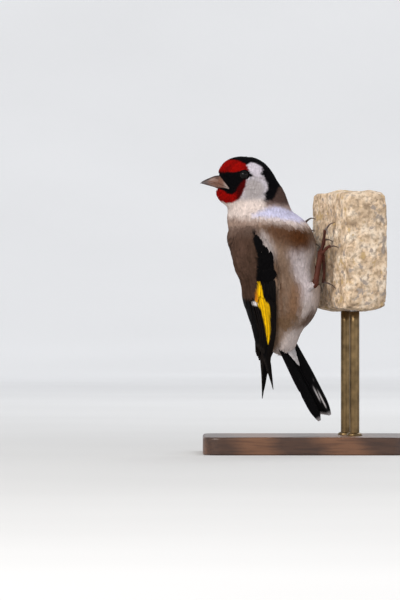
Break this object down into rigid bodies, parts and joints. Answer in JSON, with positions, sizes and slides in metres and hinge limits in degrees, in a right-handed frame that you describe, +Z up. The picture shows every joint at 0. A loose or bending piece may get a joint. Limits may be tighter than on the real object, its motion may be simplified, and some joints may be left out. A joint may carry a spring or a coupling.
{
  "type": "european goldfinch model",
  "caption": "Life-size still songbird with red face and yellow-barred black wings, clinging upright to a cut stone on a small rod stand.",
  "frame": {"origin": "centre of the stand base's underside", "axes": "+Z up, the model's longest extent; the breast faces +X and the bill points to -X; the right wing faces -Y"},
  "size_m": [0.0932, 0.078, 0.1331],
  "materials": {
    "head_plumage": "matt feathers: crimson face, black crown and collar, white cheek",
    "body_plumage": "soft matt feathers, buff brown, white on the belly",
    "wing_feathers": "black vanes with a yellow bar and white tips",
    "tail_feathers": "black vanes with white spots and tips",
    "bill_horn": "pale pinkish horn, dark at the tip",
    "eye": "dark brown, wet gloss",
    "claw_horn": "dark horn",
    "leg_skin": "scaly reddish brown skin",
    "wall_stone": "rough pale weathered stone with lichen",
    "stand_wood": "dark oiled wood",
    "stand_metal": "dull bronzed rod"
  },
  "bodies": {
    "root": {"bill_lower": "bill_horn", "bill_upper": "bill_horn", "claw_hind_left": "claw_horn", "claw_hind_right": "claw_horn", "claw_inner_left": "claw_horn", "claw_inner_right": "claw_horn", "claw_middle_left": "claw_horn", "claw_middle_right": "claw_horn", "claw_outer_left": "claw_horn", "claw_outer_right": "claw_horn", "eye_left": "eye", "eye_right": "eye", "head": "head_plumage", "neck": "body_plumage", "perch_stone": "wall_stone", "shank_left": "leg_skin", "shank_right": "leg_skin", "stand_base": "stand_wood", "stand_rod_a": "stand_metal", "stand_rod_b": "stand_metal", "tail": "tail_feathers", "thigh_left": "body_plumage", "thigh_right": "body_plumage", "toe_hind_left": "leg_skin", "toe_hind_right": "leg_skin", "toe_inner_left": "leg_skin", "toe_inner_right": "leg_skin", "toe_middle_left": "leg_skin", "toe_middle_right": "leg_skin", "toe_outer_left": "leg_skin", "toe_outer_right": "leg_skin", "torso": "body_plumage", "wing_left": "wing_feathers", "wing_right": "wing_feathers"}
  },
  "joints": []
}
